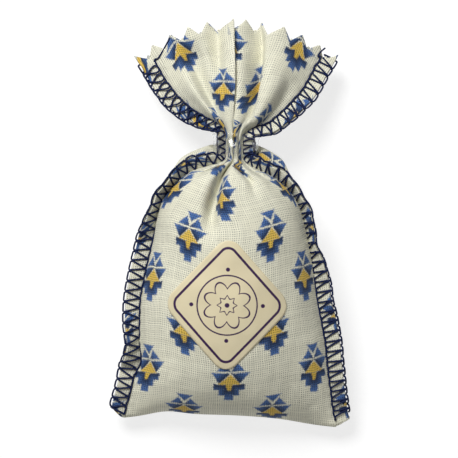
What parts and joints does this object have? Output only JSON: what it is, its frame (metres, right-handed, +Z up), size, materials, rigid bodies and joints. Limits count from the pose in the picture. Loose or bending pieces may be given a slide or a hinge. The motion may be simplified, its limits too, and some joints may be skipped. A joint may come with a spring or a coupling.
{
  "type": "lavender sachet",
  "caption": "Stuffed cotton sachet with overlocked side seams, a neck gathered under a clear band, an open pinked fan above it and a diamond label on the front, lying on its back.",
  "frame": {"origin": "on the flat resting face of the back, under the middle of the pouch", "axes": "+X across the front, +Y from the base fold to the fan, +Z up out of the front"},
  "size_m": [0.0846, 0.1427, 0.0359],
  "materials": {
    "printed_cotton": "plain-weave cream cotton with a small blue and yellow print",
    "dried_lavender": "loose dried buds",
    "clear_plastic": "clear glossy film",
    "label_paper": "smooth cream paper",
    "navy_thread": "spun polyester sewing thread"
  },
  "bodies": {
    "root": {"cloth_bag": "printed_cotton", "lavender_filling": "dried_lavender", "neck_band": "clear_plastic", "label": "label_paper", "left_needle_thread": "navy_thread", "left_upper_looper_thread": "navy_thread", "left_lower_looper_thread": "navy_thread", "right_needle_thread": "navy_thread", "right_upper_looper_thread": "navy_thread", "right_lower_looper_thread": "navy_thread"}
  },
  "joints": []
}
